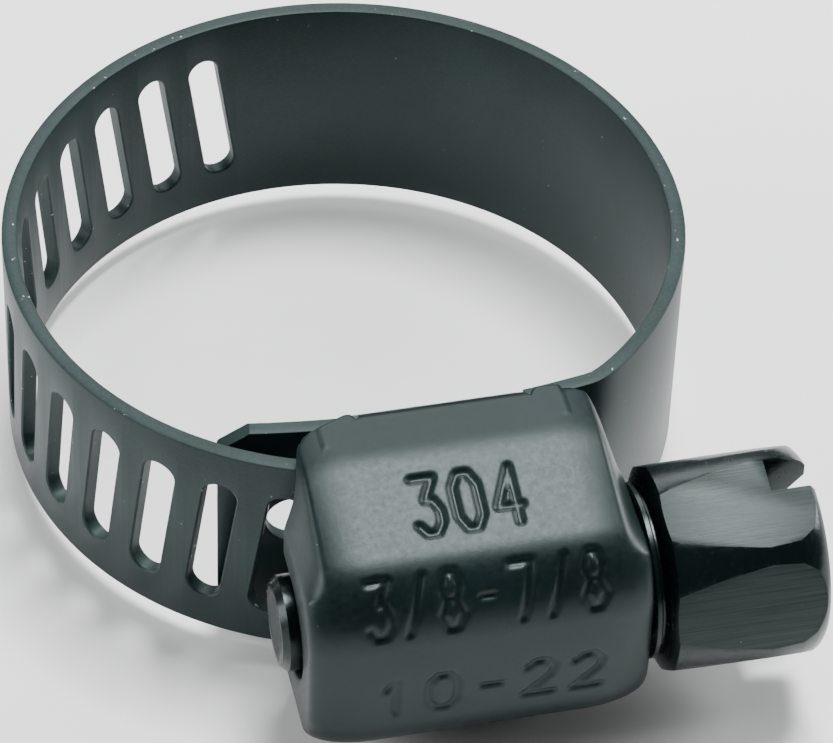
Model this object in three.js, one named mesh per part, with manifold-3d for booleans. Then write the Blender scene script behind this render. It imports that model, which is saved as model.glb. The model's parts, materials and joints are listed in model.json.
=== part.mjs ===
// Worm-drive hose clamp: a slotted band, a stamped housing and a screw. Millimetres, +Z up.
// The ring lies flat, so its axis is Z. The pieces are drawn round the ring's centre, at half the band's
// width, with the screw along X (head at +X) on the ring's -Y side. The last lines stand the clamp on Z = 0.

import * as THREE from 'three';
import { mergeVertices } from 'three/addons/utils/BufferGeometryUtils.js';
import Module from 'manifold-3d';

const wasm = await Module();
wasm.setup();

// Band: one strip of sheet, with the saddle at one end and the slots at the other
const bandWidth = 7.9;
const bandThickness = 0.5;
const ringRadius = 10.7; // to the middle of the sheet
const frontOffset = 1.0; // the ring's right front quarter bends this much tighter
const saddleRadius = 32;
const saddleGap = 1.5; // between the saddle and the slotted end, where they lie one over the other
const saddleCentreX = 0.3;
const cornerRise = 1.38; // height of the bend between the ring and the saddle
const cornerRun = 1.36;
const tongueGap = 0.3; // between the saddle's tip and the slotted end above it
const tongueChamfer = new THREE.Vector2(1.0, 0.75);
const tongueHoleRadius = 0.95;
const tongueHoleInset = 2.45; // from the tip
const splitGap = 0.1; // where the plain stretch hands over to the slotted one

// Slots: their pitch along the band is the worm's pitch
const slotPitch = 2.066;
const slotWidth = 1.1;
const slotEdge = 1.35; // metal left between a slot's end and the band's edge
const slotCount = 17;
const slotsPastMesh = 1; // slots between the mesh point and the band's free end
const meshX = -0.13; // where thread and slot line up exactly
const tailMargin = 1.65; // from the last slot's middle to the free end
const meshDepth = 0.45; // how far the thread reaches into the slots

// Screw
const crestRadius = 2.35;
const rootRadius = 1.5;
const threadCrestWidth = 0.45;
const threadRootWidth = 0.85;
const threadRunIn = 0.3; // turns over which the thread rises and falls at its ends
const tipOverhang = 0.7; // the tip stands out of the housing
const tipChamfer = 0.2;
const neckRadius = 2.0;
const collarRadius = 2.75;
const collarLength = 0.25;
const headAcrossFlats = 6.35; // a quarter inch
const headLength = 5.1;
const headBaseRadius = 3.15; // the turned profile that trims the hexagon's corners
const headBulgeRadius = 3.52;
const headEndRadius = 3.0;
const dishRadius = 2.6;
const dishFloorRadius = 1.3;
const dishDepth = 1.25;
const driverSlotWidth = 1.1;
const driverSlotDepth = 1.4;
const headFootBevel = 0.3; // narrower at the foot, where it meets the collar
const headSwell = 1.85; // distance from the base over which the head swells most
const headSwellDrop = 0.1; // how far short of the bulge it is there
const headCrown = 1.6; // distance of the bulge's widest point from the head's end
const headRound = 0.6; // length of the rounding at the end
const headRoundDrop = 0.1; // drop in radius where that rounding starts
const headTurn = 14.1; // degrees from straight up to the nearest flat, towards -Y
const slotTurn = 3.0; // degrees from straight up to the driver slot, towards +Y

// Housing: one sheet, bent and drawn over the screw
const wall = 0.6;
const screwGap = 0.15; // between the thread's crest and the sheet
const shoulderGap = 0.5; // the same, at the dome's sides
const sideGap = 0.2; // between the band's edges and the sheet
const playGap = 0.15; // end play at each end of the worm
const collarGap = 0.1;
const domeLength = 10.5;
const domeCentreX = 1.1;
const domeShoulder = 1.5;
const endDraw = 1.3; // length over which the dome's ends are drawn in
const endSqueeze = 0.16; // share of the dome's size lost at the very end
const footLength = 9.65;
const footRise = 0.4; // the feet's walls stand this much past the band
const footFlare = 1.4; // height of the slope between the feet and the dome
const lobeOverlap = 0.05;
const notchGap = 0.35; // round the screw's tip, in the dome's left end
const neckGap = 0.15;
const mouthGap = 0.35;
const wrapLength = 5.25;
const wrapGap = 0.17;
const waistDepth = 0.85;
const flapThickness = 0.55;
const flapSeam = 0.3;
const flapGap = 0.3;

// Facets
const ringStep = 4; // degrees
const roundFacets = 24;
const endFacets = 4;

// Worked out from the values above
const halfWidth = bandWidth / 2;
const halfSheet = bandThickness / 2;
const outerRadius = ringRadius + halfSheet;
const innerRadius = ringRadius - halfSheet;
const saddleDepth = ringRadius - bandThickness - saddleGap;
const saddleCentre = new THREE.Vector2(saddleCentreX, saddleRadius - saddleDepth);
const pitchAngle = slotPitch / ringRadius;
const slotLean = Math.atan(slotPitch / (2 * Math.PI * crestRadius));
const meshAngle = 1.5 * Math.PI + Math.asin(meshX / ringRadius);
const tailAngle = meshAngle + slotsPastMesh * pitchAngle + tailMargin / ringRadius;
const firstSlotAngle = meshAngle - (slotCount - 1 - slotsPastMesh) * pitchAngle;
const splitAngle = firstSlotAngle - 0.6 * pitchAngle;
const screwY = -(outerRadius - meshDepth + crestRadius);
const domeLeft = domeCentreX - domeLength / 2;
const domeRight = domeCentreX + domeLength / 2;
const crestY = screwY - crestRadius - screwGap - wall;
const domeHalf = crestRadius + shoulderGap + wall;
const footHalf = halfWidth + sideGap + wall;
const footEdgeY = -(saddleDepth + halfSheet + lobeOverlap);
const footTopY = -(outerRadius + footRise);
const waistHalf = halfWidth - waistDepth;

const alongX = new THREE.Matrix4().makeBasis(
  new THREE.Vector3(0, 1, 0), new THREE.Vector3(0, 0, 1), new THREE.Vector3(1, 0, 0));

// A closed three.js geometry as a solid that can be cut and joined
function solid(geometry) {
  geometry.deleteAttribute('normal');
  geometry.deleteAttribute('uv');
  const merged = mergeVertices(geometry, 1e-5);
  return new wasm.Manifold(new wasm.Mesh({
    numProp: 3,
    vertProperties: new Float32Array(merged.attributes.position.array),
    triVerts: new Uint32Array(merged.index.array),
  }));
}

function namedMesh(name, body, material) {
  const { vertProperties, triVerts } = body.getMesh();
  const geometry = new THREE.BufferGeometry();
  geometry.setAttribute('position', new THREE.BufferAttribute(new Float32Array(vertProperties), 3));
  geometry.setIndex(new THREE.BufferAttribute(new Uint32Array(triVerts), 1));
  geometry.computeVertexNormals();
  const mesh = new THREE.Mesh(geometry, material);
  mesh.name = name;
  return mesh;
}

// A flat outline in X and Y, extruded evenly to both sides of Z = 0
function plate(shape, height, curveSegments = roundFacets) {
  const geometry = new THREE.ExtrudeGeometry(shape, { depth: height, bevelEnabled: false, curveSegments });
  geometry.translate(0, 0, -height / 2);
  return geometry;
}

// A section in Y and Z, extruded along X
function beam(shape, left, right, steps = 1) {
  const depth = right - left;
  const geometry = new THREE.ExtrudeGeometry(shape, { depth, steps, bevelEnabled: false, curveSegments: 6 });
  geometry.translate(0, 0, left);
  return geometry.applyMatrix4(alongX);
}

// A closed section from its upper half, which is mirrored in Z
function mirroredShape(half) {
  const lower = half.map(([y, z]) => new THREE.Vector2(y, -z)).reverse();
  return new THREE.Shape([...half.map(([y, z]) => new THREE.Vector2(y, z)), ...lower]);
}

// Steps round an arc, with about one facet every ringStep degrees
function arcPoints(centre, radius, from, to) {
  const curve = new THREE.EllipseCurve(centre.x, centre.y, radius, radius, from, to, to < from);
  const steps = Math.ceil(Math.abs(THREE.MathUtils.radToDeg(to - from)) / ringStep);
  return curve.getPoints(steps);
}

// The middle line of the fixed part of the band, from the saddle's tip round to the split
function fixedLine() {
  const clearRadius = innerRadius - tongueGap;
  const reach = saddleRadius + halfSheet;
  const away = saddleCentre.length();
  const spread = Math.acos((reach ** 2 + away ** 2 - clearRadius ** 2) / (2 * reach * away));
  const down = saddleCentre.clone().negate().angle();
  const frontRadius = ringRadius - frontOffset;
  const frontAngle = -Math.asin((saddleDepth - cornerRise) / frontRadius);
  const frontCentre = new THREE.Vector2(frontOffset, 0);
  const front = arcPoints(frontCentre, frontRadius, frontAngle, 0);
  const cornerStartX = front[0].x - cornerRun;
  const saddleEnd = -Math.acos((cornerStartX - saddleCentre.x) / saddleRadius);
  const saddle = arcPoints(saddleCentre, saddleRadius, down - spread - 2 * Math.PI, saddleEnd);
  const bend = crossing(saddle.at(-1), saddleEnd + Math.PI / 2, front[0], frontAngle + Math.PI / 2);
  const corner = new THREE.QuadraticBezierCurve(saddle.at(-1), bend, front[0]);
  const back = arcPoints(new THREE.Vector2(), ringRadius, 0, splitAngle - splitGap / ringRadius);
  return [...saddle, ...corner.getPoints(4).slice(1, -1), ...front, ...back.slice(1)];
}

// Where two lines meet, each given by a point and a direction angle
function crossing(a, angleA, b, angleB) {
  const sine = Math.sin(angleB - angleA);
  const along = ((b.x - a.x) * Math.sin(angleB) - (b.y - a.y) * Math.cos(angleB)) / sine;
  return new THREE.Vector2(a.x + along * Math.cos(angleA), a.y + along * Math.sin(angleA));
}

// A strip of the band's thickness along a line of points
function stripShape(line) {
  const side = (offset) => line.map((point, i) => {
    const before = line[Math.max(i - 1, 0)];
    const after = line[Math.min(i + 1, line.length - 1)];
    const run = after.clone().sub(before).normalize();
    return new THREE.Vector2(point.x + run.y * offset, point.y - run.x * offset);
  });
  return new THREE.Shape([...side(halfSheet), ...side(-halfSheet).reverse()]);
}

// What is cut off one of the tongue's corners, in X and Z; its long side is the chamfer's line, run on
function cornerShape(tipX, side) {
  const { x, y } = tongueChamfer;
  return new THREE.Shape([
    new THREE.Vector2(tipX - x, side * (halfWidth - 2 * y)),
    new THREE.Vector2(tipX + 2 * x, side * (halfWidth + y)),
    new THREE.Vector2(tipX - x, side * (halfWidth + y)),
  ]);
}

// The saddle and the plain stretch, with the waist that the housing's flaps fold through
function bandSolid() {
  const line = fixedLine();
  const tip = line[0];
  let body = solid(plate(stripShape(line), bandWidth));
  const deep = 3 * saddleGap;
  for (const side of [1, -1]) {
    const notch = new THREE.BoxGeometry(wrapLength + 2 * wrapGap, deep, 2 * waistDepth);
    notch.translate(domeCentreX, -saddleDepth, side * halfWidth);
    body = body.subtract(solid(notch));
    const corner = plate(cornerShape(tip.x, side), deep);
    corner.rotateX(Math.PI / 2);
    corner.translate(0, tip.y, 0);
    body = body.subtract(solid(corner));
  }
  const hole = new THREE.CylinderGeometry(tongueHoleRadius, tongueHoleRadius, deep, 24);
  hole.translate(tip.x + tongueHoleInset, -saddleDepth, 0);
  return body.subtract(solid(hole));
}

// One slot's cutter: round-ended, leaning with the thread, pointing outwards from the ring's axis
function slotCutter(angle) {
  const half = slotWidth / 2;
  const reach = halfWidth - slotEdge - half;
  const shape = new THREE.Shape();
  shape.absarc(0, reach, half, 0, Math.PI, false);
  shape.absarc(0, -reach, half, Math.PI, 2 * Math.PI, false);
  const geometry = plate(shape, 4 * bandThickness, 6);
  geometry.rotateZ(-slotLean);
  const out = new THREE.Vector3(Math.cos(angle), Math.sin(angle), 0);
  const round = new THREE.Vector3(-out.y, out.x, 0);
  geometry.applyMatrix4(new THREE.Matrix4().makeBasis(round, new THREE.Vector3(0, 0, 1), out));
  geometry.translate(out.x * ringRadius, out.y * ringRadius, 0);
  return solid(geometry);
}

// The slotted stretch, from the split round the left side to its free end under the worm
function bandTailSolid() {
  const line = arcPoints(new THREE.Vector2(), ringRadius, splitAngle, tailAngle);
  let body = solid(plate(stripShape(line), bandWidth));
  for (let i = 0; i < slotCount; i += 1) {
    body = body.subtract(slotCutter(firstSlotAngle + i * pitchAngle));
  }
  return body;
}

// The dome over the screw, or with an inset its inside; its ends are drawn in towards the screw
function domeSolid(inset) {
  const half = domeHalf - inset;
  const crest = crestY + inset;
  const round = Math.max(domeShoulder - inset, 0.3);
  const left = domeLeft + inset;
  const right = domeRight - inset;
  const shape = new THREE.Shape();
  shape.moveTo(footTopY, -half);
  shape.lineTo(footTopY, half);
  shape.lineTo(crest + round, half);
  shape.absarc(crest + round, half - round, round, Math.PI / 2, Math.PI, false);
  shape.absarc(crest + round, round - half, round, Math.PI, 1.5 * Math.PI, false);
  const steps = 2 * endFacets + 1;
  const geometry = beam(shape, 0, steps, steps);
  const position = geometry.attributes.position;
  for (let i = 0; i < position.count; i += 1) {
    const step = Math.round(position.getX(i));
    const fromEnd = Math.min(step, steps - step) / endFacets;
    const x = step <= endFacets ? left + fromEnd * endDraw : right - fromEnd * endDraw;
    const shrink = 1 - endSqueeze * (1 - Math.sqrt(1 - (1 - fromEnd) ** 2));
    position.setXYZ(i, x, screwY + (position.getY(i) - screwY) * shrink, position.getZ(i) * shrink);
  }
  return solid(geometry);
}

// The feet's walls, which flare from the dome to stand beside the band's edges
function footSolid(inset) {
  const half = footHalf - inset;
  const top = domeHalf - inset;
  const halfSection = [
    [footEdgeY + inset, half],
    [footTopY, half],
    [footTopY - footFlare, top],
  ];
  const reach = footLength / 2 + inset;
  return solid(beam(mirroredShape(halfSection), domeCentreX - reach, domeCentreX + reach));
}

// The two flaps that fold through the saddle's waist and nearly meet under it
function wrapSolid() {
  const saddleInside = -(saddleDepth - halfSheet);
  const flapOutside = saddleInside + flapGap;
  const flapInside = flapOutside + flapThickness;
  const throat = waistHalf + wrapGap;
  const bandInsideY = -(innerRadius - saddleGap / 2);
  const outline = [
    [footTopY, footHalf],
    [bandInsideY, footHalf],
    [flapOutside, throat + wall],
    [flapInside, throat],
    [flapInside, flapSeam / 2],
    [flapOutside, flapSeam / 2],
    [flapOutside, throat],
    [footEdgeY - lobeOverlap, throat],
    [bandInsideY, footHalf - wall],
    [footTopY, footHalf - wall],
  ];
  const left = domeCentreX - wrapLength / 2;
  const right = domeCentreX + wrapLength / 2;
  const upper = solid(beam(new THREE.Shape(outline.map(([y, z]) => new THREE.Vector2(y, z))), left, right));
  return upper.add(upper.mirror([0, 0, 1]));
}

// An opening in one of the dome's ends: round over the screw, straight down to the band
function endOpening(radius, left, right) {
  const shape = new THREE.Shape();
  shape.absarc(screwY, 0, radius, Math.PI / 2, 1.5 * Math.PI, false);
  shape.lineTo(footTopY, -radius);
  shape.lineTo(footTopY, radius);
  return solid(beam(shape, left, right));
}

function housingSolid() {
  const reach = 2 * wall;
  const bandMouth = new THREE.BoxGeometry(domeLength + 2 * reach, saddleGap * 4, 2 * (footHalf - wall));
  const mouthY = -Math.sqrt(outerRadius ** 2 - domeLeft ** 2) - mouthGap;
  bandMouth.translate(domeCentreX, mouthY + saddleGap * 2, 0);
  return domeSolid(0)
    .add(footSolid(0))
    .subtract(domeSolid(wall))
    .subtract(footSolid(wall))
    .subtract(solid(bandMouth))
    .subtract(endOpening(rootRadius + notchGap, domeLeft - reach, domeLeft + reach))
    .subtract(endOpening(neckRadius + neckGap, domeRight - reach, domeRight + reach))
    .add(wrapSolid());
}

// The worm: a trapezoid bar wound into a right-hand helix whose ends sink into the core. Its facets lie
// half a step from the core's, so that the two never cross at a corner.
function threadSolid(left, right) {
  const base = rootRadius - 0.3;
  const shape = new THREE.Shape([
    new THREE.Vector2(base, -threadRootWidth / 2),
    new THREE.Vector2(crestRadius, -threadCrestWidth / 2),
    new THREE.Vector2(crestRadius, threadCrestWidth / 2),
    new THREE.Vector2(base, threadRootWidth / 2),
  ]);
  const firstStep = Math.ceil((left + threadRootWidth / 2 - meshX) / slotPitch * roundFacets) + 0.5;
  const lastStep = Math.floor((right - threadRootWidth / 2 - meshX) / slotPitch * roundFacets) - 0.5;
  const steps = lastStep - firstStep;
  const geometry = new THREE.ExtrudeGeometry(shape, { depth: steps, steps, bevelEnabled: false });
  const position = geometry.attributes.position;
  for (let i = 0; i < position.count; i += 1) {
    const step = Math.round(position.getZ(i));
    const rise = Math.min(step, steps - step) / roundFacets / threadRunIn;
    const radius = base + (position.getX(i) - base) * THREE.MathUtils.clamp(rise, 0.2, 1);
    const turn = (firstStep + step) / roundFacets;
    const angle = turn * 2 * Math.PI;
    const x = meshX + turn * slotPitch - position.getY(i);
    position.setXYZ(i, x, radius * Math.cos(angle), radius * Math.sin(angle));
  }
  return solid(geometry);
}

// A turned body from its profile of [x, radius] pairs, about the X axis
function turned(profile) {
  const geometry = new THREE.LatheGeometry(profile.map(([x, r]) => new THREE.Vector2(r, x)), roundFacets);
  return solid(geometry.rotateZ(-Math.PI / 2));
}

function headSolid(base) {
  const end = base + headLength;
  const dishFloor = end - dishDepth;
  const barrel = turned([
    [base - collarGap, 0],
    [base - collarGap, headBaseRadius - headFootBevel],
    [base, headBaseRadius],
    [base + headSwell, headBulgeRadius - headSwellDrop],
    [end - headCrown, headBulgeRadius],
    [end - headRound, headBulgeRadius - headRoundDrop],
    [end - headRound / 3, (headBulgeRadius + headEndRadius) / 2],
    [end, headEndRadius],
    [end, dishRadius],
    [dishFloor, dishFloorRadius],
    [dishFloor, 0],
  ]);
  const hexagon = new THREE.CylinderGeometry(
    headAcrossFlats / Math.sqrt(3), headAcrossFlats / Math.sqrt(3), headLength * 2, 6);
  hexagon.rotateY(Math.PI / 6);
  hexagon.rotateZ(-Math.PI / 2);
  hexagon.rotateX(THREE.MathUtils.degToRad(headTurn));
  hexagon.translate(base + headLength / 2, 0, 0);
  const slot = new THREE.BoxGeometry(driverSlotDepth * 2, driverSlotWidth, headAcrossFlats * 2);
  slot.rotateX(-THREE.MathUtils.degToRad(slotTurn));
  slot.translate(end, 0, 0);
  return barrel.intersect(solid(hexagon)).subtract(solid(slot));
}

function screwSolid() {
  const tip = domeLeft - tipOverhang;
  const wormLeft = domeLeft + wall + playGap;
  const wormRight = domeRight - wall - playGap;
  const collar = domeRight + collarGap;
  const headBase = collar + collarLength + collarGap;
  const shank = turned([
    [tip, 0],
    [tip, rootRadius - tipChamfer],
    [tip + tipChamfer, rootRadius],
    [wormRight - playGap, rootRadius],
    [wormRight, neckRadius],
    [collar, neckRadius],
    [collar, collarRadius - tipChamfer / 2],
    [collar + tipChamfer / 2, collarRadius],
    [collar + collarLength, collarRadius],
    [collar + collarLength, collarRadius - tipChamfer],
    [headBase, collarRadius - tipChamfer],
    [headBase, 0],
  ]);
  return shank.add(threadSolid(wormLeft, wormRight)).add(headSolid(headBase));
}

function coatedSteel(color, roughness) {
  return new THREE.MeshStandardMaterial({ color, roughness, metalness: 0.6 });
}

const clamp = new THREE.Group();
clamp.add(namedMesh('band', bandSolid(), coatedSteel(0x2c3331, 0.5)));
clamp.add(namedMesh('band_tail', bandTailSolid(), coatedSteel(0x2a3130, 0.5)));
clamp.add(namedMesh('housing', housingSolid(), coatedSteel(0x2b3230, 0.55)));
const screw = namedMesh('screw', screwSolid(), coatedSteel(0x1f2524, 0.4));
screw.position.y = screwY;
clamp.add(screw);

// Stand it on Z = 0, with the middle of its outline at the origin
clamp.updateMatrixWorld(true);
const box = new THREE.Box3().setFromObject(clamp, true);
const middle = box.getCenter(new THREE.Vector3());
clamp.position.set(-middle.x, -middle.y, -box.min.z);

export default clamp;
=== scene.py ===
import json
import math

import bpy
import numpy as np
from mathutils import Matrix, Vector


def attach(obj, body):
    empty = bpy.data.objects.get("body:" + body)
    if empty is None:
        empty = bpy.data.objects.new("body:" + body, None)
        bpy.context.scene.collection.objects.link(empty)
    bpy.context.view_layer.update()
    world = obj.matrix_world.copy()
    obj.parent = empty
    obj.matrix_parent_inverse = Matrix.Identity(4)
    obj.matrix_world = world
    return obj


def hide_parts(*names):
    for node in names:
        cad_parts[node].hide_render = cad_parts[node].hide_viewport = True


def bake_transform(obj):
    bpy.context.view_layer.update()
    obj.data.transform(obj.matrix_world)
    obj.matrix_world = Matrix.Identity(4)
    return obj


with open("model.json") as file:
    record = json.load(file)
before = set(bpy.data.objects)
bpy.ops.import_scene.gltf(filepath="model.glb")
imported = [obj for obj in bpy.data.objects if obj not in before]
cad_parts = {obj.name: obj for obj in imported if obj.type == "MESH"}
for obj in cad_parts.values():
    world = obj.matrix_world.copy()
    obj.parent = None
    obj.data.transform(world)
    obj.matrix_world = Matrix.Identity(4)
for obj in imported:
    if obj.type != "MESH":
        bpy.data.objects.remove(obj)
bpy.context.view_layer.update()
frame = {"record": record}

# Pieces are drawn in millimetres round the ring's centre, then moved into the row frame in metres
feed = next(j for j in frame["record"]["behaviour"]["joints"] if j["name"] == "band_feed")
feedAxis = Vector((0.6, 0.9, 0.0))
ringCentre = Vector(feed["pos_m"]) - feedAxis / 1000
intoFrame = Matrix.Translation(ringCentre) @ Matrix.Scale(0.001, 4)


def inFrame(x, y, z):
    return intoFrame @ Vector((x, y, z))


# ---- small helpers for modelling

def choose(obj):
    if bpy.context.object and bpy.context.object.mode != "OBJECT":
        bpy.ops.object.mode_set(mode="OBJECT")
    bpy.ops.object.select_all(action="DESELECT")
    obj.select_set(True)
    bpy.context.view_layer.objects.active = obj
    return obj


def modify(obj, kind, **settings):
    choose(obj)
    modifier = obj.modifiers.new(kind.title(), kind)
    for key, value in settings.items():
        setattr(modifier, key, value)
    bpy.ops.object.modifier_apply(modifier=modifier.name)
    return obj


def cut(obj, tool, operation="DIFFERENCE"):
    modify(obj, "BOOLEAN", object=tool, operation=operation, solver="EXACT", material_mode="TRANSFER")
    bpy.data.objects.remove(tool)
    return obj


def primitive(kind, **settings):
    if bpy.context.object and bpy.context.object.mode != "OBJECT":
        bpy.ops.object.mode_set(mode="OBJECT")
    bpy.ops.object.select_all(action="DESELECT")
    getattr(bpy.ops.mesh, f"primitive_{kind}_add")(**settings)
    bpy.ops.object.transform_apply(location=True, rotation=True, scale=True)
    return bpy.context.object


def pickPoints(obj, test):
    choose(obj)
    for vertex in obj.data.vertices:
        vertex.select = test(vertex.co)
    for edge in obj.data.edges:
        edge.select = all(obj.data.vertices[i].select for i in edge.vertices)
    for face in obj.data.polygons:
        face.select = all(obj.data.vertices[i].select for i in face.vertices)
    bpy.ops.object.mode_set(mode="EDIT")


def meshFrom(name, points, faces, edges=()):
    mesh = bpy.data.meshes.new(name)
    mesh.from_pydata([tuple(p) for p in points], list(edges), [tuple(f) for f in faces])
    obj = bpy.data.objects.new(name, mesh)
    bpy.context.scene.collection.objects.link(obj)
    return choose(obj)


def facesOutwards(obj):
    choose(obj)
    bpy.ops.object.mode_set(mode="EDIT")
    bpy.ops.mesh.select_all(action="SELECT")
    bpy.ops.mesh.normals_make_consistent(inside=False)
    bpy.ops.object.mode_set(mode="OBJECT")


def place(obj, name, angle=32):
    facesOutwards(obj)
    bpy.ops.object.shade_smooth_by_angle(angle=math.radians(angle))
    obj.data.transform(intoFrame)
    obj.name = name
    obj.data.name = name
    return obj


# ---- materials

def linear(colour):
    parts = [int(colour[i:i + 2], 16) / 255 for i in (1, 3, 5)]
    return tuple(c / 12.92 if c <= 0.04045 else ((c + 0.055) / 1.055) ** 2.4 for c in parts) + (1.0,)


def addNode(tree, kind, settings=None, links=None):
    node = tree.nodes.new(kind)
    for key, value in (settings or {}).items():
        if isinstance(key, str) and hasattr(node, key):
            setattr(node, key, value)
        else:
            node.inputs[key].default_value = value
    for key, socket in (links or {}).items():
        tree.links.new(socket, node.inputs[key])
    return node


def coatedSteel(name, look):
    material = bpy.data.materials.new(name)
    material.use_nodes = True
    tree = material.node_tree
    shader = tree.nodes["Principled BSDF"]
    coords = addNode(tree, "ShaderNodeTexCoord").outputs["Object"]
    grainWay = addNode(tree, "ShaderNodeMapping", {"Scale": look["grainWay"]}, {"Vector": coords}).outputs[0]
    perMillimetre = 1000.0
    clouds = addNode(tree, "ShaderNodeTexNoise", {"Scale": perMillimetre / look["cloudSize"], "Detail": 4.0},
                     {"Vector": coords}).outputs["Fac"]
    grain = addNode(tree, "ShaderNodeTexNoise", {"Scale": perMillimetre / look["grainSize"], "Detail": 6.0,
                                                 "Roughness": 0.65}, {"Vector": grainWay}).outputs["Fac"]
    specks = addNode(tree, "ShaderNodeTexNoise", {"Scale": perMillimetre / look["speckSize"], "Detail": 3.0},
                     {"Vector": coords}).outputs["Fac"]
    worn = addNode(tree, "ShaderNodeMapRange", {"From Min": look["wearFrom"], "From Max": look["wearFrom"] + 0.06},
                   {"Value": specks}).outputs[0]
    cloudy = addNode(tree, "ShaderNodeMapRange", {"From Min": 0.35, "From Max": 0.65}, {"Value": clouds}).outputs[0]
    grainy = addNode(tree, "ShaderNodeMapRange", {"From Min": 0.35, "From Max": 0.68, "To Max": look["grainShow"]},
                     {"Value": grain}).outputs[0]
    base = addNode(tree, "ShaderNodeMix", {"data_type": "RGBA", 6: linear(look["dark"]), 7: linear(look["light"])},
                   {0: cloudy}).outputs[2]
    grained = addNode(tree, "ShaderNodeMix", {"data_type": "RGBA", 7: linear(look["grain"])},
                      {0: grainy, 6: base}).outputs[2]
    colour = addNode(tree, "ShaderNodeMix", {"data_type": "RGBA", 7: linear(look["worn"])},
                     {0: worn, 6: grained}).outputs[2]
    rough = addNode(tree, "ShaderNodeMapRange", {"To Min": look["roughness"] - look["roughnessSpread"],
                                                 "To Max": look["roughness"] + look["roughnessSpread"]},
                    {"Value": grain}).outputs[0]
    bump = addNode(tree, "ShaderNodeBump", {"Strength": look["bump"], "Distance": look["bumpDepth"] / 1000},
                   {"Height": grain}).outputs[0]
    tree.links.new(colour, shader.inputs["Base Color"])
    tree.links.new(rough, shader.inputs["Roughness"])
    tree.links.new(bump, shader.inputs["Normal"])
    shader.inputs["Metallic"].default_value = look["metallic"]
    shader.inputs["Specular IOR Level"].default_value = look["specular"]
    shader.inputs["Specular Tint"].default_value = linear(look["tint"])
    return material


stripLook = {
    "dark": "#091718", "light": "#132324", "grain": "#283837", "worn": "#7d8482",
    "cloudSize": 3.5, "grainSize": 0.14, "speckSize": 0.22, "grainWay": (1.0, 1.0, 2.5),
    "grainShow": 0.35, "wearFrom": 0.74, "roughness": 0.4, "roughnessSpread": 0.1,
    "bump": 0.35, "bumpDepth": 0.012, "metallic": 0.0, "specular": 0.32, "tint": "#deeeee",
}
edgeLook = dict(stripLook, dark="#111f1f", light="#1f2c2c", grain="#364241", worn="#a9afad", grainSize=0.12,
                grainWay=(1.0, 1.0, 0.3), wearFrom=0.7, roughness=0.5, specular=0.26)
housingLook = dict(stripLook, dark="#030f10", light="#081718", grain="#182626", grainSize=0.2,
                   grainWay=(1.0, 1.0, 1.0), grainShow=0.3, roughness=0.4, wearFrom=0.76)
turnedLook = dict(housingLook, dark="#030a0a", light="#071111", grain="#101919", roughness=0.25)
flatLook = dict(turnedLook, grain="#3c4645", grainSize=0.2, grainWay=(0.05, 3.5, 3.5), grainShow=0.5, specular=0.25,
                roughness=0.36, roughnessSpread=0.12, bump=0.5, bumpDepth=0.012)

# Satin black coating on rolled strip, faintly green-grey
stripSteel = coatedSteel("coated_strip_steel", stripLook)
# The same strip on the faces where it was sheared and punched after rolling: lighter and greyer
shearedEdge = coatedSteel("sheared_strip_edge", edgeLook)
# Satin black coating on stamped sheet, with a soft orange-peel grain
stampedSteel = coatedSteel("coated_stamped_steel", housingLook)
# Black coating on turned steel
turnedSteel = coatedSteel("coated_turned_steel", turnedLook)
# Black coating on drawn hexagon bar, with drawing lines along the bar
drawnFlats = coatedSteel("coated_drawn_flats", flatLook)

# ---- band: one strip, punched flat, then rolled along its middle line

band = {
    "width": 7.9, "thickness": 0.5, "ringRadius": 10.7, "frontOffset": 1.0,
    "saddleRadius": 32.0, "saddleCentre": (0.3, 23.3), "tipX": -5.73,
    "cornerStartX": 6.0, "frontStart": (7.36, -7.32),
    "waistX": (-1.7, 3.9), "waistDepth": 1.0, "tipChamfer": (1.0, 0.75),
    "holeRadius": 0.95, "holeInset": 2.45,
    "splitAngle": 96.7, "blendAngle": 42.0, "tailAngle": 289.2,
    "slotPitch": 2.066, "slotWidth": 1.1, "slotEdge": 1.35, "slotCount": 17, "slotLean": 7.97,
    "firstSlotAngle": 103.3, "rimBevel": 0.07, "slotBevel": 0.05, "punchFlare": 0.2, "step": 0.2,
}


def arc(centre, radius, start, end, step=0.05):
    count = max(2, math.ceil(radius * abs(end - start) / step))
    return [(centre[0] + radius * math.cos(a), centre[1] + radius * math.sin(a))
            for a in np.linspace(start, end, count)]


# The strip's middle line from the saddle's tip round to the free end, and where the plain ring starts
def bandLine():
    cx, cy = band["saddleCentre"]
    radius = band["saddleRadius"]
    tip = -math.acos((band["tipX"] - cx) / radius)
    bend = -math.acos((band["cornerStartX"] - cx) / radius)
    saddle = arc((cx, cy), radius, tip, bend)
    front = band["frontStart"]
    offset = band["frontOffset"]
    frontAngle = math.atan2(front[1], front[0] - offset)
    a = np.array(saddle[-1])
    b = np.array(front)
    wayA = np.array((-math.sin(bend), math.cos(bend)))
    wayB = np.array((-math.sin(frontAngle), math.cos(frontAngle)))
    along = np.linalg.solve(np.array([wayA, -wayB]).T, b - a)[0]
    middle = a + wayA * along
    corner = [tuple((1 - t) ** 2 * a + 2 * t * (1 - t) * middle + t * t * b) for t in np.linspace(0, 1, 40)]
    side = arc((offset, 0), math.hypot(front[0] - offset, front[1]), frontAngle, 0)
    ring = arc((0, 0), band["ringRadius"], 0, math.radians(band["tailAngle"]) + 0.1)
    plain = saddle + corner[1:-1] + side
    return plain + ring[1:], len(plain)


line, ringStart = bandLine()
lengths = np.concatenate([[0], np.cumsum(np.hypot(*np.diff(np.array(line), axis=0).T))])


def alongBand(angle):
    return lengths[ringStart - 1] + math.radians(angle) * band["ringRadius"]


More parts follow.
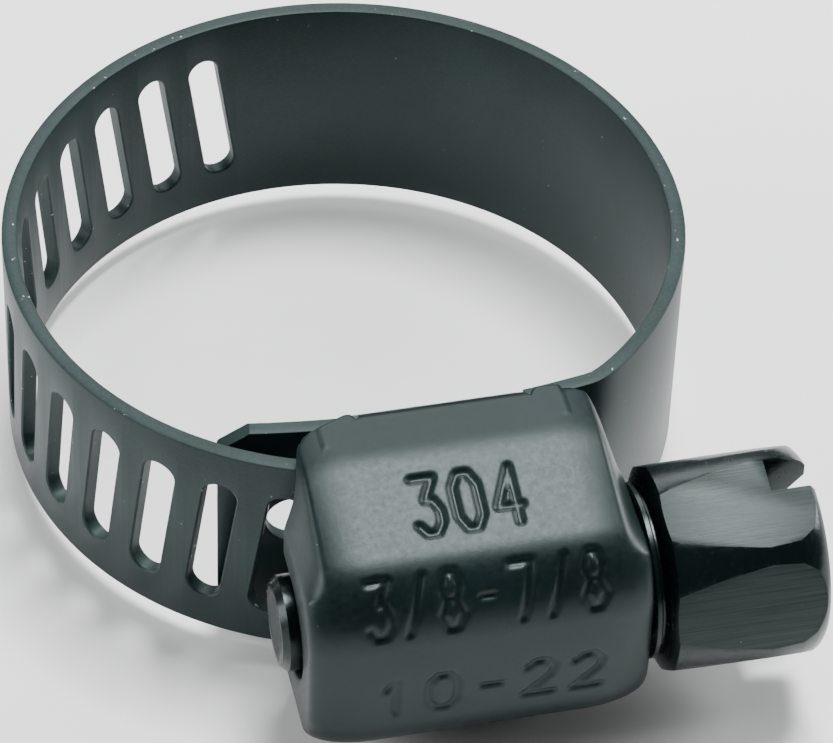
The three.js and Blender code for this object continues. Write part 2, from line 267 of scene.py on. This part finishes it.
def rollingLine():
    curve = bpy.data.curves.new("band_line", "CURVE")
    curve.dimensions = "2D"
    spline = curve.splines.new("POLY")
    spline.points.add(len(line) - 1)
    for point, (x, y) in zip(spline.points, line):
        point.co = (x, y, 0, 1)
    obj = bpy.data.objects.new("band_line", curve)
    bpy.context.scene.collection.objects.link(obj)
    return obj


def blank(start, end, freeStart, freeEnd):
    spare = 1.0
    left = start if freeStart else start - spare
    right = end if freeEnd else end + spare
    columns = math.ceil((right - left) / band["step"])
    obj = primitive("cube", size=1, location=((left + right) / 2, 0, 0),
                    scale=(right - left, band["thickness"], band["width"]))
    obj.data.materials.append(stripSteel)
    obj.data.materials.append(shearedEdge)
    modify(obj, "BEVEL", width=band["rimBevel"], segments=2, limit_method="ANGLE", angle_limit=math.radians(30))
    choose(obj)
    bpy.ops.object.mode_set(mode="EDIT")
    for i in range(1, columns):
        bpy.ops.mesh.select_all(action="SELECT")
        x = left + (right - left) * i / columns
        bpy.ops.mesh.bisect(plane_co=(x, 0, 0), plane_no=(1, 0, 0))
    for free, x, way in ((freeStart, start, -1), (freeEnd, end, 1)):
        if not free:
            bpy.ops.mesh.select_all(action="SELECT")
            bpy.ops.mesh.bisect(plane_co=(x, 0, 0), plane_no=(way, 0, 0), use_fill=True, clear_outer=True)
    bpy.ops.object.mode_set(mode="OBJECT")
    for face in obj.data.polygons:
        face.material_index = 1 if abs(face.normal.z) > 0.5 else 0
    return obj


# An obround cutter that flares at both faces of the strip, for a bevelled hole
def punch(width, height, corner, bevel):
    half = band["thickness"] / 2
    flare = band["punchFlare"]
    obj = primitive("circle", vertices=28, radius=corner, fill_type="NGON", rotation=(math.pi / 2, 0, 0))
    obj.data.transform(Matrix.Rotation(math.pi / 28, 4, "Y"))
    grow = ((width + 2 * bevel + 2 * flare) / width, 1, (height + 2 * bevel + 2 * flare) / height)
    for axis, reach in ((0, width / 2 - corner), (2, height / 2 - corner)):
        for side in (1, -1):
            move = [0, 0, 0]
            move[axis] = side * reach
            pickPoints(obj, lambda co: co[axis] * side > 0)
            bpy.ops.transform.translate(value=move)
            bpy.ops.object.mode_set(mode="OBJECT")
    choose(obj)
    bpy.ops.object.mode_set(mode="EDIT")
    bpy.ops.mesh.select_all(action="SELECT")
    bpy.ops.transform.translate(value=(0, -half - flare, 0))
    bpy.ops.transform.resize(value=grow, center_override=(0, 0, 0))
    shrink = (1 / grow[0], 1, 1 / grow[2])
    for rise, scale in ((flare + bevel, shrink), (2 * half - 2 * bevel, (1, 1, 1)), (flare + bevel, grow)):
        bpy.ops.mesh.extrude_region_move(TRANSFORM_OT_translate={"value": (0, rise, 0)})
        bpy.ops.transform.resize(value=scale, center_override=(0, 0, 0))
    bpy.ops.object.mode_set(mode="OBJECT")
    facesOutwards(obj)
    obj.data.materials.append(shearedEdge)
    return obj


def boxTool(low, high, material):
    centre = [(a + b) / 2 for a, b in zip(low, high)]
    obj = primitive("cube", size=1, location=centre, scale=[b - a for a, b in zip(low, high)])
    obj.data.materials.append(material)
    return obj


def cornerTool(side):
    run, rise = band["tipChamfer"]
    half = band["width"] / 2
    obj = boxTool((-3, -1, -3), (3, 1, 0), shearedEdge)
    obj.data.transform(Matrix.Rotation(math.atan2(rise, run), 4, "Y"))
    obj.data.transform(Matrix.Scale(-1, 4, (0, 0, 1)))
    obj.data.transform(Matrix.Diagonal((1, 1, side, 1)))
    obj.data.transform(Matrix.Translation((0, 0, side * (half - rise))))
    facesOutwards(obj)
    return obj


rolling = rollingLine()


def rolled(obj):
    modify(obj, "CURVE", object=rolling, deform_axis="POS_X")
    return obj


blendStart = alongBand(band["blendAngle"])
split = alongBand(band["splitAngle"])
tail = alongBand(band["tailAngle"])

saddle = blank(0, blendStart, True, False)
halfWidth = band["width"] / 2
waistStart, waistEnd = band["waistX"]


def alongSaddle(x):
    centre, radius = band["saddleCentre"][0], band["saddleRadius"]
    return radius * (math.acos((band["tipX"] - centre) / radius) - math.acos((x - centre) / radius))


for side in (1, -1):
    waist = sorted((side * (halfWidth - band["waistDepth"]), side * (halfWidth + 1)))
    cut(saddle, boxTool((alongSaddle(waistStart), -1, waist[0]), (alongSaddle(waistEnd), 1, waist[1]),
                        shearedEdge))
    cut(saddle, cornerTool(side))
hole = punch(2 * band["holeRadius"], 2 * band["holeRadius"], band["holeRadius"] - 0.001, band["slotBevel"])
hole.data.transform(Matrix.Translation((band["holeInset"], 0, 0)))
cut(saddle, hole)
place(rolled(saddle), "band_saddle")

back = blank(blendStart, split, False, False)
place(rolled(back), "band_back")

slotted = blank(split, tail, False, True)
slots = punch(band["slotWidth"], band["width"] - 2 * band["slotEdge"], band["slotWidth"] / 2 - 0.001,
              band["slotBevel"])
slots.data.transform(Matrix.Rotation(math.radians(band["slotLean"]), 4, "Y"))
slots.data.transform(Matrix.Translation((alongBand(band["firstSlotAngle"]), 0, 0)))
modify(slots, "ARRAY", count=band["slotCount"], use_relative_offset=False, use_constant_offset=True,
       constant_offset_displace=(band["slotPitch"], 0, 0))
cut(slotted, slots)
place(rolled(slotted), "band_slotted")
bpy.data.objects.remove(rolling)

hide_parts("band")
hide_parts("band_tail")
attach(saddle, "clamp_body")
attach(slotted, "slotted_end")
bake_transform(back)
print("band", [len(p.data.polygons) for p in (saddle, back, slotted)])

# ---- housing: one sheet drawn over the screw, with lobed feet and two flaps folded under the saddle

housing = {
    "wall": 0.55, "screwY": -12.85, "left": -4.35, "right": 6.3, "crestY": -15.9, "half": 3.4,
    "shoulder": 2.3, "footY": -11.0, "footHalf": 4.75, "footRound": 3.5,
    "wrapY": -9.15, "wrapRound": 0.7, "flapY": -7.6, "flapZ": 3.15, "flapRound": 0.6, "seam": 0.15,
    "draw": 2.1, "leftSqueeze": 0.19, "rightSqueeze": 0.16, "leftOpening": 1.85, "rightOpening": 2.15,
    "wrapLeft": -1.5, "wrapRight": 3.7, "domeEdgeY": -11.4, "crown": 0.2,
    "foldBlend": 0.3, "lobeRun": 0.75, "endMargin": 1.5,
    "step": 0.085, "rows": 118, "flapRows": 40, "endColumns": 8, "rimRows": 4, "rimReach": 0.1,
    "digitDepth": 0.11, "digitStroke": 0.17,
}


def rounded(corners):
    points = [np.array(corners[0][:2])]
    for before, here, after in zip(corners, corners[1:], corners[2:]):
        p = np.array(here[:2])
        a = np.array(before[:2]) - p
        b = np.array(after[:2]) - p
        a, b = a / np.linalg.norm(a), b / np.linalg.norm(b)
        half = math.acos(np.clip(a @ b, -1, 1)) / 2
        inset = here[2] / math.tan(half)
        middle = p + (a + b) / np.linalg.norm(a + b) * here[2] / math.sin(half)
        first, last = p + a * inset - middle, p + b * inset - middle
        for t in np.linspace(0, 1, 16):
            way = first * (1 - t) + last * t
            points.append(middle + way / np.linalg.norm(way) * here[2])
    points.append(np.array(corners[-1][:2]))
    return np.array(points)


h = housing
section = rounded([
    (h["crestY"], 0), (h["crestY"], h["half"], h["shoulder"]), (h["footY"], h["footHalf"], h["footRound"]),
    (h["wrapY"], h["footHalf"], h["wrapRound"]), (h["flapY"], h["flapZ"], h["flapRound"]),
    (h["flapY"], h["seam"])])
sectionAt = np.concatenate([[0], np.cumsum(np.linalg.norm(np.diff(section, axis=0), axis=1))])
flapEnd = sectionAt[-1]


def lengthToY(y):
    reach = int(np.argmax(section[:, 0] > h["flapY"] - 0.2))
    return float(np.interp(y, section[2:reach, 0], sectionAt[2:reach]))


flapStart = lengthToY(h["wrapY"])

# The sheet's lower edge along the housing: dome end, lobe, V notch, fold, V notch, lobe, dome end
edgePoints = np.array([
    (h["left"], h["domeEdgeY"]), (-4.0, -11.2), (-3.8, -10.7), (-3.7, -10.2), (-3.55, -9.85), (-3.1, -9.58),
    (-2.4, -9.3), (-1.95, -9.1), (-1.8, -9.12), (-1.62, -9.4), (h["wrapLeft"], h["wrapY"]),
    (h["wrapRight"], h["wrapY"]), (3.82, -9.4), (3.98, -9.1), (4.2, -9.02), (5.1, -9.12), (5.5, -9.4),
    (5.75, -9.9), (5.9, -10.6), (6.05, -11.2), (h["right"], h["domeEdgeY"])])

# Strokes of the digits, on a cell 2 wide and 3 high
glyphs = {
    "0": [[(0.6, 0), (0, 0.7), (0, 2.3), (0.6, 3), (1.4, 3), (2, 2.3), (2, 0.7), (1.4, 0), (0.6, 0)]],
    "1": [[(0.4, 2.3), (1.1, 3), (1.1, 0)]],
    "2": [[(0.1, 2.5), (0.7, 3), (1.4, 3), (2, 2.4), (1.8, 1.7), (0, 0), (2, 0)]],
    "3": [[(0.1, 3), (1.9, 3), (0.9, 1.8), (1.5, 1.8), (2, 1.2), (2, 0.6), (1.4, 0), (0.6, 0), (0, 0.5)]],
    "4": [[(1.5, 0), (1.5, 3), (0, 0.9), (2, 0.9)]],
    "7": [[(0, 3), (2, 3), (0.8, 0)]],
    "8": [[(0.6, 1.6), (0.1, 2.2), (0.6, 3), (1.4, 3), (1.9, 2.2), (1.4, 1.6), (0.6, 1.6), (0, 0.8), (0.6, 0),
           (1.4, 0), (2, 0.8), (1.4, 1.6)]],
    "-": [[(0.4, 1.5), (1.6, 1.5)]],
    "/": [[(0.2, 0), (1.8, 3)]],
}

# Each row: the digits, middle along the screw, middle along the section from the crest, height, pitch
digitRows = [("304", 1.05, 6.1, 1.9, 1.25), ("3/8-7/8", 1.1, 3.0, 1.7, 1.1), ("10-22", 1.2, -0.5, 1.5, 1.5)]


def strokes():
    segments = []
    for text, middle, level, height, pitch in digitRows:
        for i, letter in enumerate(text):
            x = middle + (i - (len(text) - 1) / 2) * pitch
            for path in glyphs[letter]:
                at = [(x + (u - 1) * pitch * 0.3, level + (v / 3 - 0.5) * height) for u, v in path]
                segments += list(zip(at, at[1:]))
    return np.array(segments)


def digitDip(x, s):
    dip = np.zeros(len(x))
    for a, b in strokes():
        d = b - a
        t = np.clip(((x - a[0]) * d[0] + (s - a[1]) * d[1]) / (d @ d), 0, 1)
        away = np.hypot(x - a[0] - t * d[0], s - a[1] - t * d[1]) / h["digitStroke"]
        dip = np.maximum(dip, np.clip(1 - away ** 2, 0, 1) ** 1.5)
    return dip * h["digitDepth"]


def smooth(t):
    t = np.clip(t, 0, 1)
    return t * t * (3 - 2 * t)


# A point of the sheet: column across the housing, s along its section from the crest
def sheetPoint(column, s):
    x, shrink, closed, opening = column
    side = np.sign(s) if s else 1.0
    y = float(np.interp(abs(s), sectionAt, section[:, 0]))
    z = float(np.interp(abs(s), sectionAt, section[:, 1]))
    fromEnd = min(x - h["left"], h["right"] - x)
    flare = smooth(fromEnd / h["lobeRun"])
    if z > h["half"] and y < h["wrapY"] + 0.3:
        z = h["half"] * shrink + (z - h["half"]) * flare
    else:
        z *= shrink
    if z < h["half"] and y < h["screwY"]:
        y -= h["crown"] * math.cos(math.pi / 2 * min(1, z / h["half"]))
    elif y > h["footY"] + 0.7 and abs(s) < flapStart + 1.5:
        folded = smooth((x - h["wrapLeft"]) / h["foldBlend"] + 1) * smooth((h["wrapRight"] - x) / h["foldBlend"] + 1)
        z = h["footHalf"] + (z - h["footHalf"]) * folded if folded < 1 and fromEnd > h["endMargin"] else z
    y = h["screwY"] + (y - h["screwY"]) * shrink if y < h["wrapY"] - 0.6 else y
    if closed > 0:
        out = math.hypot(y - h["screwY"], z)
        if y < h["screwY"]:
            target = (h["screwY"] + (y - h["screwY"]) * opening / out, z * opening / out)
        else:
            target = (y, opening)
        y += (target[0] - y) * closed
        z += (target[1] - z) * closed
    return (x, y, side * z)


def housingColumns():
    columns = []
    length = h["right"] - h["left"]
    count = math.ceil(length / h["step"])
    inner = sorted(set(np.round(np.linspace(h["left"], h["right"], count + 1), 5))
                   | {h["left"] + 0.02, h["right"] - 0.02, h["wrapLeft"], h["wrapRight"]})
    inner = [x for i, x in enumerate(inner) if x in (h["wrapLeft"], h["wrapRight"]) or min(
        abs(x - h["wrapLeft"]), abs(x - h["wrapRight"])) > 0.04]
    for x in inner:
        t = min(1, min(x - h["left"], h["right"] - x) / h["draw"])
        squeeze = h["leftSqueeze"] if x < 0 else h["rightSqueeze"]
        columns.append((x, 1 - squeeze * (1 - math.sqrt(1 - (1 - t) ** 2)), 0, 0))
    closing = np.linspace(0, 1, h["endColumns"] + 1)[1:]
    leftEnd = [(h["left"], 1 - h["leftSqueeze"], k, h["leftOpening"]) for k in closing[::-1]]
    rightEnd = [(h["right"], 1 - h["rightSqueeze"], k, h["rightOpening"]) for k in closing]
    return leftEnd + columns + rightEnd


def housingSheet():
    columns = housingColumns()
    rows = h["rows"]
    points, at = [], []
    for column in columns:
        reach = lengthToY(float(np.interp(column[0], edgePoints[:, 0], edgePoints[:, 1])))
        for j in range(-rows, rows + 1):
            points.append(sheetPoint(column, reach * j / rows))
            at.append((column[0] if column[2] == 0 else 99.0, reach * j / rows))
    width = 2 * rows + 1
    faces = [(i * width + j, (i + 1) * width + j, (i + 1) * width + j + 1, i * width + j + 1)
             for i in range(len(columns) - 1) for j in range(width - 1)]
    fold = [i for i, c in enumerate(columns) if c[2] == 0 and h["wrapLeft"] <= c[0] <= h["wrapRight"]]
    for side in (1, -1):
        edge = width - 1 if side > 0 else 0
        previous = [i * width + edge for i in fold]
        for k in range(1, h["flapRows"] + 1):
            s = side * (flapStart + (flapEnd - flapStart) * k / h["flapRows"])
            current = []
            for i in fold:
                current.append(len(points))
                points.append(sheetPoint(columns[i], s))
                at.append((99.0, s))
            for a, b, c, d in zip(previous, previous[1:], current[1:], current):
                faces.append((a, b, c, d) if side > 0 else (d, c, b, a))
            previous = current
    return np.array(points), faces, np.array(at)


def normalsOf(points, faces):
    quads = np.array(faces)
    across = np.cross(points[quads[:, 2]] - points[quads[:, 0]], points[quads[:, 3]] - points[quads[:, 1]])
    normals = np.zeros_like(points)
    for k in range(4):
        np.add.at(normals, quads[:, k], across)
    return normals / np.linalg.norm(normals, axis=1, keepdims=True).clip(1e-9)


# Gives a sheet its thickness, with a rounded rim
def thickened(points, faces, wall):
    normals = normalsOf(points, faces)
    inner = points - normals * wall
    count = len(points)
    allPoints = [points, inner]
    allFaces = [tuple(f) for f in faces] + [tuple(i + count for i in reversed(f)) for f in faces]
    directed = {}
    for face in faces:
        for a, b in zip(face, face[1:] + face[:1]):
            directed[(a, b)] = True
    following = {a: b for a, b in directed if (b, a) not in directed}
    leading = {b: a for a, b in following.items()}
    rim = list(following)
    index = {v: k for k, v in enumerate(rim)}
    along = np.array([points[following[v]] - points[leading[v]] for v in rim])
    outward = np.cross(along, normals[rim])
    outward /= np.linalg.norm(outward, axis=1, keepdims=True).clip(1e-9)
    total = 2 * count
    previous = rim
    for k in range(1, h["rimRows"] + 1):
        angle = math.pi * k / (h["rimRows"] + 1)
        depth = (1 - math.copysign(abs(math.cos(angle)) ** 0.6, math.cos(angle))) / 2
        bulge = math.sin(angle) ** 0.6 * h["rimReach"]
        allPoints.append(points[rim] - normals[rim] * wall * depth + outward * bulge)
        current = [total + index[v] for v in rim]
        for i, v in enumerate(rim):
            j = index[following[v]]
            allFaces.append((previous[j], previous[i], current[i], current[j]))
        previous = current
        total += len(rim)
    last = [v + count for v in rim]
    for i, v in enumerate(rim):
        j = index[following[v]]
        allFaces.append((previous[j], previous[i], last[i], last[j]))
    return np.concatenate(allPoints), allFaces


sheet, sheetFaces, sheetAt = housingSheet()
sheet = sheet - normalsOf(sheet, sheetFaces) * digitDip(sheetAt[:, 0], sheetAt[:, 1])[:, None]
shell = meshFrom("housing_shell", *thickened(sheet, sheetFaces, h["wall"]))
shell.data.materials.append(stampedSteel)
place(shell, "housing_shell", 60)
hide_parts("housing")
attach(shell, "clamp_body")
print("housing", len(shell.data.polygons))

# ---- screw: a worm, a neck, a collar and a dished hexagon head with a driver slot

screw = {
    "axisY": -12.85, "tip": -4.85, "worm": (-3.35, 5.6), "rootRadius": 1.5, "crestRadius": 2.35,
    "pitch": 2.066, "meshX": -0.13, "crestWidth": 0.45, "baseWidth": 0.85, "baseRadius": 1.3,
    "crestEase": 0.1, "runOut": 0.6,
    "neckRadius": 2.0, "neckX": 5.45, "collar": (6.45, 6.7), "collarRadius": 2.75,
    "head": (6.8, 11.9), "footRadius": 3.28, "bulgeRadius": 3.52, "endRadius": 3.0, "dishRadius": 2.62,
    "dishFloor": 1.5, "dishDepth": 1.1, "acrossFlats": 6.35, "headTurn": 14.1,
    "slotWidth": 1.1, "slotDepth": 1.4, "slotTurn": 3.0, "bevel": 0.07, "steps": 120,
}
w = screw


def turnedBody(name, profile):
    points = [(x, r, 0) for x, r in profile]
    obj = meshFrom(name, points, [], [(i, i + 1) for i in range(len(points) - 1)])
    modify(obj, "SCREW", axis="X", steps=w["steps"], render_steps=w["steps"], use_merge_vertices=True,
           merge_threshold=1e-4)
    facesOutwards(obj)
    return obj


headStart, headEnd = w["head"]
headProfile = [(headStart, 0), (headStart, w["collarRadius"] - 0.1), (headStart + 0.12, 2.95),
               (headStart + 0.28, w["footRadius"]), (headStart + 1.6, w["bulgeRadius"] - 0.12),
               (headEnd - 1.9, w["bulgeRadius"]), (headEnd - 0.9, w["bulgeRadius"] - 0.04),
               (headEnd - 0.45, w["bulgeRadius"] - 0.16), (headEnd - 0.15, w["endRadius"] + 0.18),
               (headEnd, w["endRadius"]), (headEnd, w["dishRadius"]), (headEnd - w["dishDepth"], w["dishFloor"]),
               (headEnd - w["dishDepth"], 0)]
head = turnedBody("screw_head", headProfile)
head.data.materials.append(turnedSteel)
bar = primitive("cylinder", vertices=6, radius=w["acrossFlats"] / math.sqrt(3), depth=20,
                rotation=(0, math.pi / 2, 0), location=(headStart, 0, 0))
bar.data.materials.append(drawnFlats)
flatAngles = [math.atan2(f.normal.z, f.normal.y) for f in bar.data.polygons if abs(f.normal.x) < 0.5]
wantedAngle = math.pi / 2 + math.radians(w["headTurn"])
bar.data.transform(Matrix.Rotation(wantedAngle - flatAngles[0], 4, "X"))
cut(head, bar, "INTERSECT")
blade = boxTool((headEnd - w["slotDepth"], -w["slotWidth"] / 2, -5), (headEnd + 2, w["slotWidth"] / 2, 5),
                turnedSteel)
blade.data.transform(Matrix.Rotation(-math.radians(w["slotTurn"]), 4, "X"))
cut(head, blade)
modify(head, "BEVEL", width=w["bevel"], segments=2, limit_method="ANGLE", angle_limit=math.radians(24))
print("head", len(head.data.polygons))

wormLeft, wormRight = w["worm"]
collarLeft, collarRight = w["collar"]
shankProfile = [(w["tip"] + 0.5, 0), (w["tip"] + 0.03, 1.12), (w["tip"], 1.17),
                (w["tip"], w["rootRadius"] - 0.2), (w["tip"] + 0.2, w["rootRadius"]),
                (w["neckX"], w["rootRadius"]), (w["neckX"] + 0.15, w["neckRadius"]),
                (collarLeft, w["neckRadius"]), (collarLeft, w["collarRadius"] - 0.06),
                (collarLeft + 0.06, w["collarRadius"]), (collarRight - 0.06, w["collarRadius"]),
                (collarRight, w["collarRadius"] - 0.1), (collarRight, w["collarRadius"] - 0.2),
                (headStart + 0.05, w["collarRadius"] - 0.2), (headStart + 0.05, 0)]
shank = turnedBody("screw_shank", shankProfile)
shank.data.materials.append(turnedSteel)


def wormThread():
    perTurn = 48
    first = math.ceil((wormLeft + w["baseWidth"] / 2 - w["meshX"]) / w["pitch"] * perTurn)
    last = math.floor((wormRight - w["baseWidth"] / 2 - w["runOut"] - w["meshX"]) / w["pitch"] * perTurn)
    ease = w["crestEase"]
    profile = [(-w["baseWidth"] / 2, w["baseRadius"]), (-w["crestWidth"] / 2 - 0.02, w["crestRadius"] - ease),
               (-w["crestWidth"] / 2 + 0.08, w["crestRadius"]), (w["crestWidth"] / 2 - 0.08, w["crestRadius"]),
               (w["crestWidth"] / 2 + 0.02, w["crestRadius"] - ease), (w["baseWidth"] / 2, w["baseRadius"])]
    points = [(x, r, 0) for x, r in profile]
    n = len(points)
    obj = meshFrom("screw_thread", points, [], [(i, (i + 1) % n) for i in range(n)])
    turns = (last - first) / perTurn
    modify(obj, "SCREW", axis="X", steps=last - first, render_steps=last - first, angle=2 * math.pi * turns,
           screw_offset=w["pitch"] * turns, use_merge_vertices=False)
    choose(obj)
    bpy.ops.object.mode_set(mode="EDIT")
    bpy.ops.mesh.select_all(action="SELECT")
    bpy.ops.mesh.region_to_loop()
    bpy.ops.mesh.edge_face_add()
    bpy.ops.object.mode_set(mode="OBJECT")
    turn = first / perTurn
    obj.data.transform(Matrix.Rotation(2 * math.pi * turn, 4, "X"))
    obj.data.transform(Matrix.Translation((w["meshX"] + turn * w["pitch"], 0, 0)))
    facesOutwards(obj)
    return obj


thread = wormThread()
thread.data.materials.append(turnedSteel)
cut(shank, thread, "UNION")
cut(head, shank, "UNION")
modify(head, "WELD", merge_threshold=0.002)
head.data.transform(Matrix.Translation((0, w["axisY"], 0)))
place(head, "worm_screw_turned", 24)
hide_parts("screw")
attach(head, "worm_screw")
print("screw", len(head.data.polygons))

# ---- floor, light and camera

studio = {
    "floor": "#f7f8f8", "world": 0.07,
    "lights": [
        ("overhead", (0.06, 0.07, 0.35), (0, 0, 0), 0.13, 2.4),
        ("back", (0.05, 0.36, 0.26), (0, 0, 0), 0.22, 0.8),
        ("left", (-0.34, 0.02, 0.15), (0, 0, 0.005), 0.18, 1.2),
        ("right", (0.36, 0.1, 0.14), (0, 0, 0.005), 0.18, 1.6),
    ],
}
floor = primitive("plane", size=4)
floor.name = "floor"
floorMaterial = bpy.data.materials.new("pale_paper")
floorMaterial.use_nodes = True
floorShader = floorMaterial.node_tree.nodes["Principled BSDF"]
floorShader.inputs["Base Color"].default_value = linear(studio["floor"])
floorShader.inputs["Roughness"].default_value = 0.9
floor.data.materials.append(floorMaterial)

world = bpy.data.worlds.new("studio")
bpy.context.scene.world = world
world.use_nodes = True
world.node_tree.nodes["Background"].inputs["Strength"].default_value = studio["world"]
world.node_tree.nodes["Background"].inputs["Color"].default_value = (1, 1, 1, 1)

for name, location, target, size, power in studio["lights"]:
    data = bpy.data.lights.new(name, "AREA")
    data.size = size
    data.energy = power
    lamp = bpy.data.objects.new(name, data)
    lamp.location = location
    lamp.rotation_euler = (Vector(target) - Vector(location)).to_track_quat("-Z", "Y").to_euler()
    bpy.context.scene.collection.objects.link(lamp)

camera = {"turn": -14.2, "elevation": 45.012, "roll": 2.2295, "distance": 150.0, "across": 2.4696,
          "upwards": -1.7922, "lens": 199.03, "sensor": 36.0}
turn, rise, roll = (math.radians(camera[k]) for k in ("turn", "elevation", "roll"))
backWay = Vector((math.sin(turn) * math.cos(rise), -math.cos(turn) * math.cos(rise), math.sin(rise)))
rightWay = Vector((math.cos(turn), math.sin(turn), 0))
upWay = backWay.cross(rightWay)
spot = backWay * camera["distance"] + rightWay * camera["across"] + upWay * camera["upwards"]
tiltedRight = rightWay * math.cos(roll) + upWay * math.sin(roll)
tiltedUp = upWay * math.cos(roll) - rightWay * math.sin(roll)
lensData = bpy.data.cameras.new("camera")
lensData.lens = camera["lens"]
lensData.sensor_width = camera["sensor"]
lensData.clip_start = 0.001
lensData.clip_end = 10
viewer = bpy.data.objects.new("camera", lensData)
pose = Matrix((tiltedRight, tiltedUp, backWay)).transposed().to_4x4()
viewer.matrix_world = Matrix.Translation(inFrame(*spot)) @ pose
bpy.context.scene.collection.objects.link(viewer)
bpy.context.scene.camera = viewer
print("studio")

bpy.context.view_layer.update()
